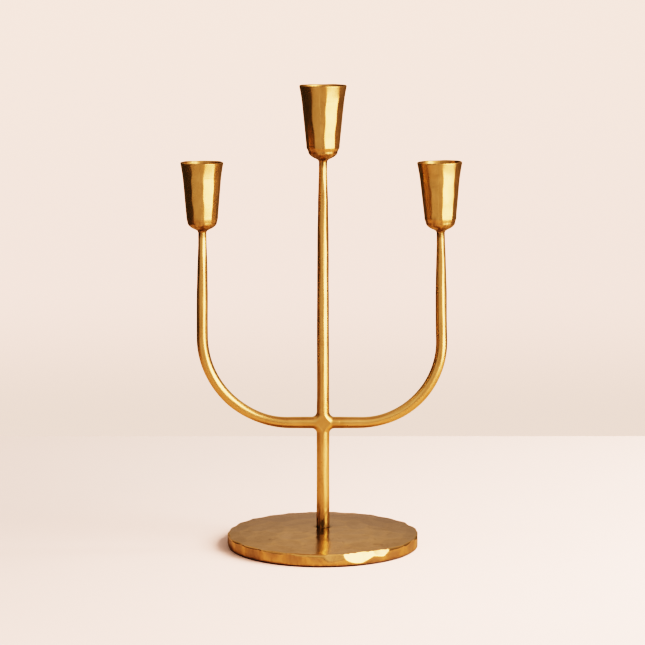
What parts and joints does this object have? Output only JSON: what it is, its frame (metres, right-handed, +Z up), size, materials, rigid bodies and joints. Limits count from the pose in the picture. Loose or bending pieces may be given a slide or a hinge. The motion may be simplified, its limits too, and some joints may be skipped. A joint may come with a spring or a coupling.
{
  "type": "candelabra",
  "caption": "Hammered brass tabletop candelabra: round foot, tall centre stem and J-shaped side arms, each ending in a flared, faceted cup for a taper candle.",
  "frame": {"origin": "on the stem's axis, at the underside of the felt pad, where the object meets the table", "axes": "+Z up along the stem, +X to the right as seen from the front and along the arms, +Y away from the viewer"},
  "size_m": [0.2203, 0.1524, 0.366],
  "materials": {
    "base_brass": "aged, hand-hammered, satin",
    "rod_brass": "aged, softly hammered along its length, satin",
    "cup_brass": "aged, long hammered facets, satin",
    "screw_brass": "turned",
    "zinc_steel": "zinc plated",
    "black_felt": "pressed wool felt"
  },
  "bodies": {
    "root": {"base_disc": "base_brass", "base_felt": "black_felt", "base_washer": "zinc_steel", "base_lock_washer": "zinc_steel", "base_screw": "zinc_steel", "lower_stem": "rod_brass", "hub": "rod_brass", "centre_stem": "rod_brass", "left_arm": "rod_brass", "right_arm": "rod_brass", "left_cup": "cup_brass", "left_cup_screw": "screw_brass", "centre_cup": "cup_brass", "centre_cup_screw": "screw_brass", "right_cup": "cup_brass", "right_cup_screw": "screw_brass"}
  },
  "joints": []
}
